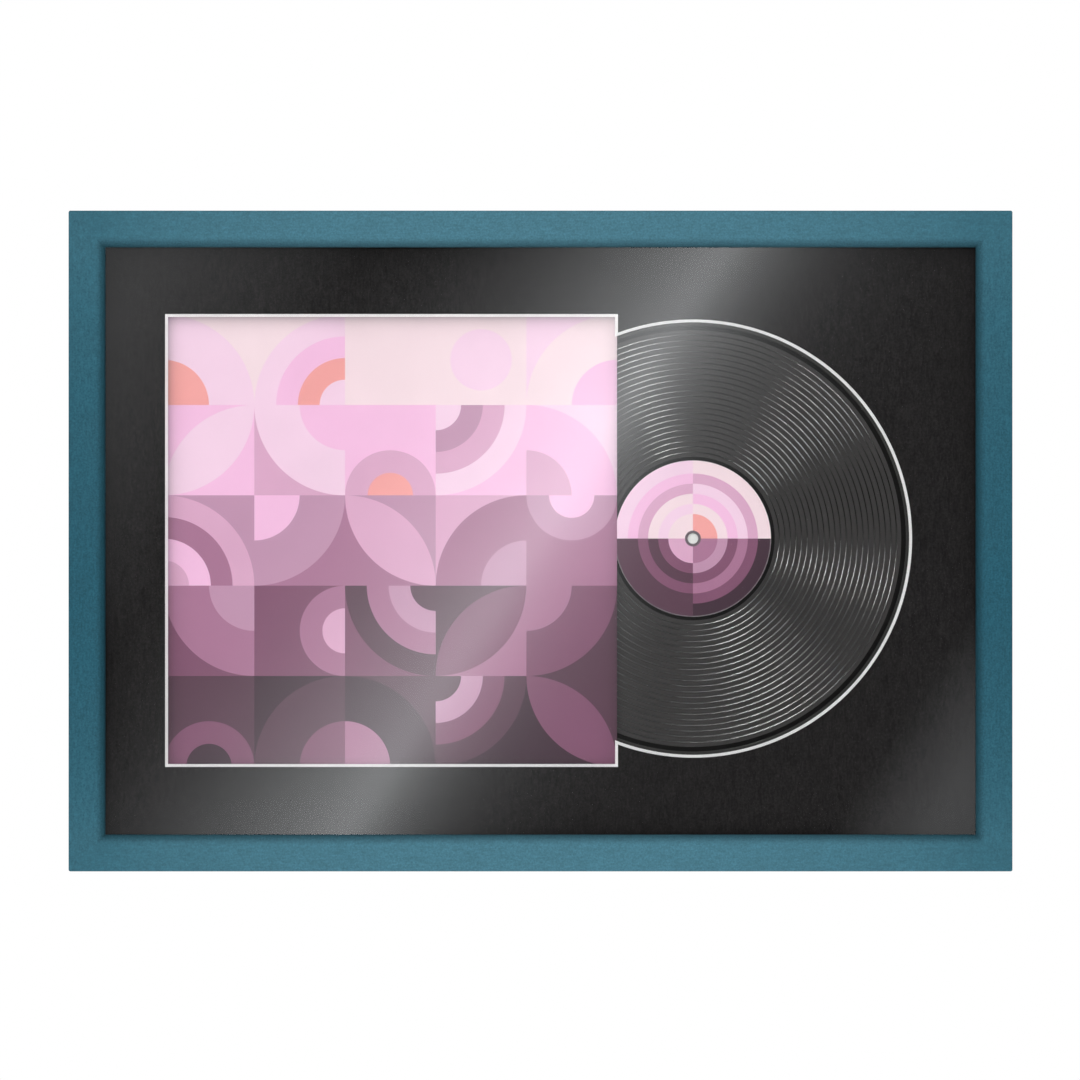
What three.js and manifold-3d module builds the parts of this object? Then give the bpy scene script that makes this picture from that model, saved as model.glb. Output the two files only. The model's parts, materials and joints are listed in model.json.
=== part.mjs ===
// A framed record display: a painted wooden picture frame that holds a sleeve with its record half drawn out.
// Millimetres, +Z up, +X to the right of someone who faces the frame, and the front faces -Y.
// The origin is the middle of the frame on the wall's surface, so the wall bumpers end at y = 0.

import * as THREE from 'three';
import { mergeVertices } from 'three/addons/utils/BufferGeometryUtils.js';
import Module from 'manifold-3d';

const wasm = await Module();
wasm.setup();

// Record and sleeve
const disc_diameter = 301.6;
const disc_thickness = 2;
const groove_thickness = 1.6;
const rim_width = 3.5;
const rim_bevel = 0.5;
const rim_channel_width = 3.1;
const inner_channel_width = 2.8;
const channel_depth = 0.25;
const spindle_hole_diameter = 7.24;
const label_diameter = 108;
const label_thickness = 0.15;
const label_glue = 0.05;
const label_room = 0.2;
const sleeve_margin = 6.35;
const sleeve_card = 0.4;
const sleeve_fold = 0.8;
const pocket_room = 0.3;

// Where the record and its sleeve lie in the mat's window
const disc_reveal = 51.85;
const disc_raise = 1.35;
const sleeve_shift = 1.15;

// Mat, with one window of a square joined to a circle
const mat_thickness = 2;
const sleeve_overlap = 2.5;
const disc_overlap = 1.2;
const border_left = 41.15;
const border_right = 43.8;
const border_top = 46;
const border_bottom = 46.7;

// Moulding
const moulding_width = 25.4;
const rabbet_width = 6;
const lip_depth = 6;
const sight_round = 5;
const sight_flat = 0.6;
const edge_round = 0.8;
const mitre_gap = 0.2;

// Sheets behind the lip
const glazing_thickness = 2;
const mount_board_thickness = 3;
const backing_thickness = 3;
const rabbet_clearance = 0.5;
const nest_clearance = 0.5;
const seat_gap = 0.3;

// Corner nails
const nail_depth = 10;
const nail_leg = 5;
const nail_thickness = 0.6;
const nail_clearance = 0.3;
const nail_place_shares = { outer: 0.28, inner: 0.68 };

// Screws, all of one kind
const screw_radius = 1.2;
const screw_length = 14;
const screw_point = 2.4;
const screw_head_radius = 3;
const screw_head_height = 1.8;
const screw_head_edge = 0.8;
const screw_crown_radius = 1.6;
const screw_clearance = 0.3;
const recess_length = 3.4;
const recess_width = 0.8;
const recess_depth = 1;

// Turn buttons, which hold the sheets in
const button_thickness = 1.2;
const button_pivot_radius = 5;
const button_tip_radius = 3.4;
const button_grip = 12;
const button_gap = 0.3;
const button_spread_share = 0.62;

// Strap hangers and their rings
const strap_width = 10;
const strap_length = 36;
const strap_thickness = 1.6;
const eye_wall = 0.8;
const eye_clearance = 0.25;
const strap_screw_inset = 15;
const strap_end_inset = 7;
const ring_wire_radius = 1.1;
const ring_half_width = 7.4;
const ring_side = 3;
const ring_rest_gap = 0.3;
const hanger_height_share = 0.57;

// Wall bumpers
const bumper_height = 6;
const bumper_radius = 6.5;
const bumper_face_radius = 5;
const bumper_skirt = 2.4;
const bumper_inset = 42;

// How far a cutter runs past the face that it cuts
const overrun = 1;

// Counts of the flat facets on round forms
const disc_sides = 72;
const window_sides = 96;
const bumper_sides = 24;
const eye_sides = 16;
const small_sides = 12;
const arc_steps = 6;
const ring_steps = 28;
const wire_sides = 10;

// Sizes that follow from the record outwards
const disc_radius = disc_diameter / 2;
const label_radius = label_diameter / 2;
const hole_radius = spindle_hole_diameter / 2;
const label_seat = disc_thickness / 2 - label_thickness - label_glue;
const sleeve_size = disc_diameter + 2 * sleeve_margin;
const pocket_depth = disc_thickness + 2 * pocket_room;
const sleeve_depth = pocket_depth + 2 * sleeve_card;
const square_back = sleeve_size - 2 * sleeve_overlap;
const square_front = square_back + 2 * mat_thickness;
const circle_back_radius = disc_radius - disc_overlap;
const circle_front_radius = circle_back_radius + mat_thickness;
const sight_width = border_left + square_front + disc_reveal + circle_front_radius + border_right;
const sight_height = border_bottom + square_front + border_top;
const outer_width = sight_width + 2 * moulding_width;
const outer_height = sight_height + 2 * moulding_width;
const sheet_width = sight_width + 2 * (rabbet_width - rabbet_clearance);
const sheet_height = sight_height + 2 * (rabbet_width - rabbet_clearance);

// Places in the plane of the wall
const square_x = border_left + (square_front - sight_width) / 2;
const square_z = border_bottom + (square_front - sight_height) / 2;
const sleeve_x = square_x - sleeve_shift;
const disc_x = square_x + square_front / 2 + disc_reveal;
const disc_z = square_z + disc_raise;

// The sheets in order from the back of the frame forwards, each placed by its rear face
const rail_back = -bumper_height;
const backing_back = rail_back;
const mount_board_back = backing_back - backing_thickness - seat_gap;
const spacer_back = mount_board_back - mount_board_thickness - seat_gap;
const mat_back = spacer_back - sleeve_depth - seat_gap;
const glazing_back = mat_back - mat_thickness - seat_gap;
const ledge = glazing_back - glazing_thickness - seat_gap;
const frame_depth = rail_back - ledge + lip_depth;
const disc_middle = spacer_back - sleeve_depth / 2;

// The flat back of a rail, and the hardware on it
const back_width = moulding_width - rabbet_width;
const button_back = rail_back + button_gap + button_thickness;
const button_screw_seat = button_back + button_gap;
const strap_back = rail_back + seat_gap + strap_thickness;
const strap_screw_seat = strap_back + seat_gap;
const eye_bore_radius = ring_wire_radius + eye_clearance;
const eye_radius = eye_bore_radius + eye_wall;
const eye_y = rail_back + seat_gap + eye_radius;
const ring_height = ring_side + ring_half_width;
const hanger_x = (outer_width - back_width) / 2;
const hanger_z = hanger_height_share * outer_height / 2;

const paint = { color: 0x3f6b7a, roughness: 0.6 };
const clear = { color: 0xffffff, roughness: 0.05, transparent: true, opacity: 0.12 };
const black_card = { color: 0x232122, roughness: 0.9 };
const printed_card = { color: 0xe9b7bd, roughness: 0.6 };
const vinyl = { color: 0x1c1b1b, roughness: 0.3 };
const label_paper = { color: 0xe8b3b8, roughness: 0.8 };
const white_board = { color: 0xf2f0ec, roughness: 0.9 };
const hardboard = { color: 0x7a5636, roughness: 0.8 };
const zinc = { color: 0xb9bcc0, roughness: 0.35, metalness: 1 };
const rubber = { color: 0x2a2a2b, roughness: 0.7 };

// A copy with shared corners merged and collapsed triangles left out.
function weld(geometry) {
  const bare = geometry.clone();
  bare.deleteAttribute('normal');
  bare.deleteAttribute('uv');
  const merged = mergeVertices(bare);
  const corners = merged.index.array;
  const kept = [];
  for (let i = 0; i < corners.length; i += 3) {
    const [a, b, c] = [corners[i], corners[i + 1], corners[i + 2]];
    if (a !== b && b !== c && c !== a) {
      kept.push(a, b, c);
    }
  }
  merged.setIndex(kept);
  return merged;
}

function solid(geometry) {
  const welded = weld(geometry);
  const vertProperties = welded.attributes.position.array;
  const triVerts = Uint32Array.from(welded.index.array);
  return new wasm.Manifold(new wasm.Mesh({ numProp: 3, vertProperties, triVerts }));
}

// The body's geometry after other geometries are added to it and cut from it.
function shaped(body, { add = [], cut = [] }) {
  let result = solid(body);
  for (const piece of add) {
    result = result.add(solid(piece));
  }
  for (const piece of cut) {
    result = result.subtract(solid(piece));
  }
  const { vertProperties, triVerts } = result.getMesh();
  const geometry = new THREE.BufferGeometry();
  geometry.setAttribute('position', new THREE.BufferAttribute(vertProperties, 3));
  geometry.setIndex(new THREE.BufferAttribute(triVerts, 1));
  geometry.computeVertexNormals();
  return geometry;
}

function piece(name, geometry, look) {
  const mesh = new THREE.Mesh(geometry, new THREE.MeshStandardMaterial(look));
  mesh.name = name;
  return mesh;
}

// A flat shape drawn in x and z. Its rear face is at y = 0, and it goes forwards by its depth.
function plate(shape, depth) {
  const flat = new THREE.ExtrudeGeometry(shape, { depth, bevelEnabled: false, curveSegments: arc_steps });
  return flat.rotateX(Math.PI / 2);
}

function block(width, depth, height, x, y, z) {
  return new THREE.BoxGeometry(width, depth, height).translate(x, y, z);
}

// A round bar along y between two places.
function rod(radius, front, back, x, z, sides = small_sides) {
  return new THREE.CylinderGeometry(radius, radius, back - front, sides).translate(x, (front + back) / 2, z);
}

// A round bar along x, about the origin.
function crossbar(radius, length, sides) {
  return new THREE.CylinderGeometry(radius, radius, length, sides).rotateZ(Math.PI / 2);
}

// A closed outline of radius and y, turned about the y axis.
function turned(outline, sides) {
  const points = outline.map(([radius, y]) => new THREE.Vector2(radius, y));
  return weld(new THREE.LatheGeometry(points, sides));
}

// x runs inwards from the outer edge and y runs forwards from the back.
function mouldingSection() {
  const lip_round = Math.min(sight_round, lip_depth - sight_flat);
  const section = new THREE.Shape();
  section.moveTo(0, 0);
  section.lineTo(0, frame_depth - edge_round);
  section.absarc(edge_round, frame_depth - edge_round, edge_round, Math.PI, Math.PI / 2, true);
  section.lineTo(moulding_width - lip_round, frame_depth);
  section.absarc(moulding_width - lip_round, frame_depth - lip_round, lip_round, Math.PI / 2, 0, true);
  section.lineTo(moulding_width, frame_depth - lip_depth);
  section.lineTo(back_width, frame_depth - lip_depth);
  section.lineTo(back_width, 0);
  section.closePath();
  return section;
}

// A rail in the frame of its own side: x along it, z inwards, and its outer edge at z = -reach.
function mitredRail(length, reach) {
  const straight = { depth: length, bevelEnabled: false, curveSegments: arc_steps };
  const rail = new THREE.ExtrudeGeometry(mouldingSection(), straight);
  const points = rail.attributes.position;
  const setback = mitre_gap / Math.SQRT2;
  for (let i = 0; i < points.count; i += 1) {
    const inward = points.getX(i);
    const end = Math.sign(points.getZ(i) - length / 2);
    const along = end * (length / 2 - inward - setback);
    points.setXYZ(i, along, rail_back - points.getY(i), inward - reach);
  }
  return rail;
}

// A V-shaped outline with its point at the origin and its legs spread towards +x.
function nailOutline(clearance) {
  const spread = Math.PI / 3;
  const half = nail_thickness / 2 + clearance;
  const leg_x = (nail_leg + clearance) * Math.cos(spread);
  const leg_y = (nail_leg + clearance) * Math.sin(spread);
  const side_x = half * Math.sin(spread);
  const side_y = half * Math.cos(spread);
  const tip = half / Math.sin(spread);
  const outline = new THREE.Shape();
  outline.moveTo(-tip, 0);
  outline.lineTo(leg_x - side_x, -leg_y - side_y);
  outline.lineTo(leg_x + side_x, -leg_y + side_y);
  outline.lineTo(tip, 0);
  outline.lineTo(leg_x + side_x, leg_y - side_y);
  outline.lineTo(leg_x - side_x, leg_y + side_y);
  outline.closePath();
  return outline;
}

// A nail at one end of a side, or the slot for it. The end is 1 for the +x end and -1 for the other.
function cornerNail(length, reach, end, share, clearance, past) {
  const inward = share * back_width;
  const nail = plate(nailOutline(clearance), nail_depth + clearance + past);
  nail.rotateY(end > 0 ? -3 * Math.PI / 4 : -Math.PI / 4);
  return nail.translate(end * (length / 2 - inward), rail_back + past, inward - reach);
}

function screwHole(x, z, seat) {
  return rod(screw_radius + screw_clearance, seat - screw_length - screw_clearance, rail_back + overrun, x, z);
}

// A pan-head wood screw with a cross recess. The head's underside is at y = 0 and the point is at the front.
function screw() {
  const outline = [
    [0, -screw_length],
    [screw_radius, screw_point - screw_length],
    [screw_radius, 0],
    [screw_head_radius, 0],
    [screw_head_radius, screw_head_edge],
    [(screw_head_radius + screw_crown_radius) / 2, (screw_head_edge + 2 * screw_head_height) / 3],
    [screw_crown_radius, screw_head_height],
    [0, screw_head_height],
  ];
  const recess_y = screw_head_height - (recess_depth - overrun) / 2;
  const recess_cut = recess_depth + overrun;
  const across = block(recess_length, recess_cut, recess_width, 0, recess_y, 0);
  const upright = block(recess_width, recess_cut, recess_length, 0, recess_y, 0);
  return shaped(turned(outline, small_sides), { cut: [across, upright] });
}

// A turn button about its screw, with the end that grips the backing towards +z.
function turnButton() {
  const reach = back_width / 2 + button_grip - button_tip_radius;
  const slant = Math.acos((button_pivot_radius - button_tip_radius) / reach);
  const outline = new THREE.Shape();
  outline.absarc(0, 0, button_pivot_radius, Math.PI / 2 + slant, Math.PI / 2 - slant, false);
  outline.absarc(0, reach, button_tip_radius, Math.PI / 2 - slant, Math.PI / 2 + slant, false);
  outline.closePath();
  const hole = rod(screw_radius + screw_clearance, -button_thickness - overrun, overrun, 0, 0);
  return shaped(plate(outline, button_thickness), { cut: [hole] });
}

function bumper() {
  const outline = [
    [0, 0],
    [bumper_radius, 0],
    [bumper_radius, bumper_skirt],
    [bumper_face_radius, bumper_height],
    [0, bumper_height],
  ];
  return turned(outline, bumper_sides);
}

// One side of the frame: its rail, its turn buttons and screws, its bumpers and the nails of its +x corner.
function side({ name, corner, turn, length, reach, button_shares, hanger_screws, bumpers }) {
  const group = new THREE.Group();
  group.rotation.y = turn;
  const middle_z = back_width / 2 - reach;
  const cuts = [];
  for (const [place, share] of Object.entries(nail_place_shares)) {
    cuts.push(cornerNail(length, reach, 1, share, nail_clearance, overrun));
    cuts.push(cornerNail(length, reach, -1, share, nail_clearance, overrun));
    const nail = cornerNail(length, reach, 1, share, 0, 0);
    group.add(piece(`corner_nail_${corner}_${place}`, nail, zinc));
  }
  for (const [place, share] of Object.entries(button_shares)) {
    const x = share * length / 2;
    cuts.push(screwHole(x, middle_z, button_screw_seat));
    const button = piece(`turn_button_${name}_${place}`, turnButton(), zinc);
    button.position.set(x, button_back, middle_z);
    const fixing = piece(`button_screw_${name}_${place}`, screw(), zinc);
    fixing.position.set(x, button_screw_seat, middle_z);
    group.add(button, fixing);
  }
  for (const x of hanger_screws) {
    cuts.push(screwHole(x, middle_z, strap_screw_seat));
  }
  for (const [place, x] of Object.entries(bumpers)) {
    const rest = piece(`wall_bumper_${place}`, bumper(), rubber);
    rest.position.set(x, rail_back, middle_z);
    group.add(rest);
  }
  group.add(piece(`rail_${name}`, shaped(mitredRail(length, reach), { cut: cuts }), paint));
  return group;
}

// The wire of a ring, up one side, over the top and down the other, in the plane y = 0.
class RingPath extends THREE.Curve {
  getPoint(t, target = new THREE.Vector3()) {
    const arc = Math.PI * ring_half_width;
    const s = t * (arc + 2 * ring_side);
    if (s < ring_side) {
      return target.set(ring_half_width, 0, s);
    }
    if (s > ring_side + arc) {
      return target.set(-ring_half_width, 0, 2 * ring_side + arc - s);
    }
    const angle = (s - ring_side) / ring_half_width;
    return target.set(ring_half_width * Math.cos(angle), 0, ring_side + ring_half_width * Math.sin(angle));
  }
}

// A wire D whose straight bar lies along x through the origin and whose loop stands up along z.
function ring() {
  const section = new THREE.Shape();
  section.absarc(0, 0, ring_wire_radius, 0, 2 * Math.PI, false);
  const along_wire = { steps: ring_steps, curveSegments: wire_sides, extrudePath: new RingPath() };
  const loop = new THREE.ExtrudeGeometry(section, along_wire);
  const bar = crossbar(ring_wire_radius, 2 * ring_half_width, wire_sides);
  const corners = [-ring_half_width, ring_half_width].map((x) => {
    return new THREE.SphereGeometry(ring_wire_radius, wire_sides, arc_steps).translate(x, 0, 0);
  });
  return shaped(loop, { add: [bar, ...corners] });
}

// A steel strap folded round the bar of its ring, with the eye's axis at the origin.
function strap() {
  const half = strap_width / 2;
  const outline = new THREE.Shape();
  outline.moveTo(half, 0);
  outline.lineTo(-half, 0);
  outline.absarc(0, half - strap_length, half, Math.PI, 2 * Math.PI, false);
  outline.closePath();
  const flat = plate(outline, strap_thickness).translate(0, strap_back - eye_y, 0);
  const eye = crossbar(eye_radius, strap_width, eye_sides);
  const bore = crossbar(eye_bore_radius, strap_width + 2 * overrun, eye_sides);
  const holes = strapScrewPlaces().map((z) => {
    return rod(screw_radius + screw_clearance, rail_back - eye_y, strap_screw_seat - eye_y + overrun, 0, z);
  });
  return shaped(flat, { add: [eye], cut: [bore, ...holes] });
}

function strapScrewPlaces() {
  return [-strap_screw_inset, strap_end_inset - strap_length];
}

// A hanger at one side, as it hangs: the ring stands up and leans on the rail.
function hanger(name, x) {
  const group = new THREE.Group();
  group.position.set(x, eye_y, hanger_z);
  const loop = piece(`hanging_ring_${name}`, ring(), zinc);
  loop.rotation.x = Math.asin((eye_y - rail_back - ring_wire_radius - ring_rest_gap) / ring_height);
  group.add(piece(`strap_hanger_${name}`, strap(), zinc), loop);
  strapScrewPlaces().forEach((z, index) => {
    const fixing = piece(`hanger_screw_${name}_${index ? 'lower' : 'upper'}`, screw(), zinc);
    fixing.position.set(0, strap_screw_seat - eye_y, z);
    group.add(fixing);
  });
  return group;
}

function sheet(name, thickness, back, look) {
  return piece(name, block(sheet_width, thickness, sheet_height, 0, back - thickness / 2, 0), look);
}

// A black mat with a white core. Its bevelled window is widest at the front.
function mat() {
  const middle = mat_back - mat_thickness / 2;
  const cut_depth = mat_thickness + 2 * overrun;
  const narrow = square_back / 2 - overrun;
  const wide = square_front / 2 + overrun;
  const sloped = [narrow * Math.SQRT2, wide * Math.SQRT2, cut_depth, 4, 1, false, Math.PI / 4];
  const square = new THREE.CylinderGeometry(...sloped).translate(square_x, middle, square_z);
  const radii = [circle_back_radius - overrun, circle_front_radius + overrun];
  const circle = new THREE.CylinderGeometry(...radii, cut_depth, window_sides).translate(disc_x, middle, disc_z);
  const board = block(sheet_width, mat_thickness, sheet_height, 0, middle, 0);
  return piece('mat_board', shaped(board, { cut: [square, circle] }), black_card);
}

// A board as deep as the sleeve, cut out round the sleeve and the record, which lie in it.
function spacer() {
  const nest = sleeve_size + 2 * nest_clearance;
  const nest_radius = disc_radius + nest_clearance;
  const square = block(nest, sleeve_depth + 2 * overrun, nest, sleeve_x, disc_middle, square_z);
  const front = spacer_back - sleeve_depth - overrun;
  const circle = rod(nest_radius, front, spacer_back + overrun, disc_x, disc_z, window_sides);
  const board = block(sheet_width, sleeve_depth, sheet_height, 0, disc_middle, 0);
  return piece('spacer_board', shaped(board, { cut: [square, circle] }), white_board);
}

// A folded card pocket, open at the right.
function sleeve() {
  const outside = block(sleeve_size, sleeve_depth, sleeve_size, sleeve_x, disc_middle, square_z);
  const inner_height = sleeve_size - 2 * sleeve_fold;
  const inner_width = sleeve_size - sleeve_fold + overrun;
  const inner_x = sleeve_x + (sleeve_fold + overrun) / 2;
  const inside = block(inner_width, pocket_depth, inner_height, inner_x, disc_middle, square_z);
  return piece('record_sleeve', shaped(outside, { cut: [inside] }), printed_card);
}

// The disc's outline: a label seat, a channel, the groove field, a channel and the rim bead, alike on both faces.
function disc() {
  const face = disc_thickness / 2;
  const field = groove_thickness / 2;
  const channel = field - channel_depth;
  const seat_radius = label_radius + label_room;
  const inner_land = seat_radius + inner_channel_width;
  const rim = disc_radius - rim_width;
  const outer_land = rim - rim_channel_width;
  const back_half = [
    [hole_radius, label_seat],
    [seat_radius, label_seat],
    [seat_radius, channel],
    [inner_land, channel],
    [inner_land, field],
    [outer_land, field],
    [outer_land, channel],
    [rim, channel],
    [rim, face],
    [disc_radius - rim_bevel, face],
    [disc_radius, face - rim_bevel],
  ];
  const front_half = back_half.map(([radius, y]) => [radius, -y]);
  const outline = [...front_half, ...back_half.reverse(), front_half[0]];
  const body = piece('vinyl_disc', turned(outline, disc_sides), vinyl);
  body.position.set(disc_x, disc_middle, disc_z);
  return body;
}

// A paper ring let into one face of the disc. The face is 1 for the back and -1 for the front.
function label(name, face) {
  const inner = hole_radius + label_room;
  const top = label_thickness / 2;
  const outline = [
    [inner, -top],
    [label_radius, -top],
    [label_radius, top],
    [inner, top],
    [inner, -top],
  ];
  const paper = piece(name, turned(outline, disc_sides), label_paper);
  paper.position.set(disc_x, disc_middle + face * (label_seat + label_glue + top), disc_z);
  return paper;
}

// The four sides. A place along a side is counted from its middle, towards its own +x end.
const long_side = { length: outer_width, reach: outer_height / 2, hanger_screws: [] };
const short_side = { length: outer_height, reach: outer_width / 2, button_shares: { middle: 0 }, bumpers: {} };
const hanger_screws = strapScrewPlaces().map((z) => hanger_z + z);
const spread = button_spread_share;
const bumper_place = outer_width / 2 - bumper_inset;
const sides = [
  {
    ...long_side,
    name: 'bottom',
    corner: 'bottom_right',
    turn: 0,
    button_shares: { left: -spread, middle: 0, right: spread },
    bumpers: { bottom_left: -bumper_place, bottom_right: bumper_place },
  },
  {
    ...long_side,
    name: 'top',
    corner: 'top_left',
    turn: Math.PI,
    button_shares: { left: spread, middle: 0, right: -spread },
    bumpers: { top_left: bumper_place, top_right: -bumper_place },
  },
  { ...short_side, name: 'right', corner: 'top_right', turn: -Math.PI / 2, hanger_screws },
  {
    ...short_side,
    name: 'left',
    corner: 'bottom_left',
    turn: Math.PI / 2,
    hanger_screws: hanger_screws.map((place) => -place),
  },
];

const display = new THREE.Group();
display.add(
  ...sides.map(side),
  hanger('left', -hanger_x),
  hanger('right', hanger_x),
  sheet('glazing', glazing_thickness, glazing_back, clear),
  mat(),
  spacer(),
  sleeve(),
  disc(),
  label('front_label', -1),
  label('back_label', 1),
  sheet('mount_board', mount_board_thickness, mount_board_back, white_board),
  sheet('backing_board', backing_thickness, backing_back, hardboard),
);

export default display;
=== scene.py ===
"""Looks for the vinyl record frame: painted rails, glass, mat, sleeve, record and hardware."""

import cmath
import json
import math
from functools import reduce

import bmesh
import bpy
import numpy as np
from mathutils import Matrix, Vector

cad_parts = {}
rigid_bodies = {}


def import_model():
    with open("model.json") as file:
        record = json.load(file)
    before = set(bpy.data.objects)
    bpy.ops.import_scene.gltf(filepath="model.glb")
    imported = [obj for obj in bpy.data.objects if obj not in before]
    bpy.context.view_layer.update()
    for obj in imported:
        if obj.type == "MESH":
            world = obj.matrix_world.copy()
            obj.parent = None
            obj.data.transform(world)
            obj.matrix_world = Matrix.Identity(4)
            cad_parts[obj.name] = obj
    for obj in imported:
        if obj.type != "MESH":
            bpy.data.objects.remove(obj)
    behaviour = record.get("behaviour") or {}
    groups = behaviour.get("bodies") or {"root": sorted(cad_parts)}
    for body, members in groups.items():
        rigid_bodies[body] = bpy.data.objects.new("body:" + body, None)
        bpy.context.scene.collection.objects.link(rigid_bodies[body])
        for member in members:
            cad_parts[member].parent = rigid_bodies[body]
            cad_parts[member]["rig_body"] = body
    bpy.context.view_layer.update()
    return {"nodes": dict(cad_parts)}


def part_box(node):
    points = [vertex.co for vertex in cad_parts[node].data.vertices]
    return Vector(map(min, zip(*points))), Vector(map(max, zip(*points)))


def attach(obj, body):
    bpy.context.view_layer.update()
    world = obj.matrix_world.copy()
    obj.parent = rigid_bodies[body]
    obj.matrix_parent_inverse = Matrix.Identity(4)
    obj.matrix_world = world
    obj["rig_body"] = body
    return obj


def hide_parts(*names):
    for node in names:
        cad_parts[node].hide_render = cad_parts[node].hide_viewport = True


MM = 0.001
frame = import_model()
scene = bpy.context.scene
rng = np.random.default_rng(7)

# ---- sizes of the part, in millimetres

OUTER_W, OUTER_H = 652.5, 456.8
MOULDING, RABBET, LIP = 25.4, 6.0, 6.0
BACK_W = MOULDING - RABBET
RAIL_BACK, DEPTH = -6.0, 20.9
EDGE_ROUND, CORNER_ROUND, SIGHT_ROUND = 0.8, 1.3, 5.0
SIGHT_X, SIGHT_Z = OUTER_W / 2 - MOULDING, OUTER_H / 2 - MOULDING
SHEET_X, SHEET_Z = 306.35, 208.5  # half the width and height of every sheet
GLASS_Y = (-20.6, -18.6)
MAT_FRONT, MAT_BACK = -18.3, -16.3
SLEEVE_Y = (-16.0, -12.6)
MOUNT_Y = (-12.3, -9.3)
BACKING_Y = (-9.0, -6.0)
SQUARE = (-103.05, 0.35)
SQUARE_BACK, SQUARE_FRONT = 309.3, 313.3
CIRCLE_BACK, CIRCLE_FRONT = 149.6, 151.6
SLEEVE_X, SLEEVE_Z = (-261.35, 52.95), (-156.8, 157.5)
DISC, DISC_Y, DISC_R = (105.45, 1.70), -14.3, 150.8
LABEL_R, HOLE_R = 54.0, 3.62


def srgb(red, green, blue, gain=1.0):
    """A linear colour from 0 to 255 display values."""
    shares = (value / 255 for value in (red, green, blue))
    linear = (c / 12.92 if c <= 0.04045 else ((c + 0.055) / 1.055) ** 2.4 for c in shares)
    return (*(min(c * gain, 0.96) for c in linear), 1.0)


# ---- node helpers


def is_socket(value):
    return isinstance(value, bpy.types.NodeSocket)


class Graph:
    """Short ways to make the nodes of a material or world. Inputs are sockets or constants."""

    def __init__(self, owner):
        owner.use_nodes = True
        self.owner, self.tree = owner, owner.node_tree
        self.tree.nodes.clear()

    def node(self, kind, inputs=(), **settings):
        """A node with its settings, and its inputs by number or name."""
        made = self.tree.nodes.new("ShaderNode" + kind)
        for key, value in settings.items():
            setattr(made, key, value)
        for key, value in dict(inputs).items():
            if is_socket(value):
                self.tree.links.new(value, made.inputs[key])
            else:
                made.inputs[key].default_value = value
        return made

    def out(self, kind, *inputs, **settings):
        """The first output of a node, its inputs in their order."""
        return self.node(kind, dict(enumerate(inputs)), **settings).outputs[0]

    def math(self, operation, *values):
        return self.out("Math", *values, operation=operation)

    def add(self, *values):
        return reduce(lambda a, b: self.math("ADD", a, b), values)

    def times(self, *values):
        return reduce(lambda a, b: self.math("MULTIPLY", a, b), values)

    def spread(self, value, low, high, to_low=0.0, to_high=1.0, smooth=False):
        kind = "SMOOTHSTEP" if smooth else "LINEAR"
        return self.out("MapRange", value, low, high, to_low, to_high, interpolation_type=kind)

    def place(self):
        """Position in the object's own space, in metres."""
        return self.node("TexCoord").outputs["Object"]

    def split(self, vector):
        return tuple(self.node("SeparateXYZ", {0: vector}).outputs)

    def stretch(self, vector, *ways):
        return self.out("VectorMath", vector, ways, operation="MULTIPLY")

    def noise(self, vector, size, detail=2.0, rough=0.5, twist=0.0):
        """Noise from 0 to 1 whose blobs are about size millimetres wide."""
        look = {"Detail": detail, "Roughness": rough, "Distortion": twist}
        return self.node("TexNoise", {"Vector": vector, "Scale": 1000 / size, **look}).outputs[0]

    def swing(self, value, reach):
        """Noise from 0 to 1 turned into a factor about 1, give or take about reach."""
        return self.math("MULTIPLY_ADD", value, 4 * reach, 1 - 2 * reach)

    def mix(self, factor, a, b):
        return self.node("Mix", {"Factor": factor, 6: a, 7: b}, data_type="RGBA").outputs[2]

    def tone(self, colour, factor):
        """A colour times a number."""
        start = colour if is_socket(colour) else colour[:3]
        return self.node("VectorMath", {0: start, "Scale": factor}, operation="SCALE").outputs[0]

    def bump(self, height, strength, depth):
        """depth is the height's full range in millimetres."""
        return self.node("Bump", {"Strength": strength, "Distance": depth * MM, "Height": height}).outputs[0]

    def fading(self, value, scale):
        """1 up to zero, and from there towards 0 over about the scale."""
        past = self.math("MAXIMUM", value, 0.0)
        return self.math("EXPONENT", self.math("DIVIDE", past, -scale))

    def painted_edge_shades(self, place, sides):
        """Painted shade: factors that fall towards straight edges. A side is its axis, where it lies in
        millimetres, 1 or -1 for the way inwards, how much it takes at the edge and over how many millimetres that
        fades."""
        for axis, edge, inwards, depth, fades in sides:
            along = self.split(place)[0 if axis == "x" else 2]
            inside = self.math("MULTIPLY_ADD", along, inwards / MM, -inwards * edge)
            yield self.math("MULTIPLY_ADD", self.fading(inside, fades), -depth, 1.0)

    def output(self, shader, kind="OutputMaterial"):
        """Ends the graph in a shader and returns what it belongs to."""
        self.node(kind, {"Surface": shader})
        return self.owner

    def principled(self, colour, roughness, specular=0.5, **others):
        """Ends the graph in a Principled shader. others are its further sockets."""
        inputs = {"Base Color": colour, "Roughness": roughness, "Specular IOR Level": specular, **others}
        return self.output(self.node("BsdfPrincipled", inputs).outputs[0])


def material(name):
    return Graph(bpy.data.materials.new(name))


# ---- materials

PAINTED_LIGHT_HOLD = 22 * MM  # the painted light holds off this far from a corner before the colour turns to the middle's
GLASS_SHINE = 0.08
BEHIND_GLASS = 1.08  # makes up for the light that the glass keeps back


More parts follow.
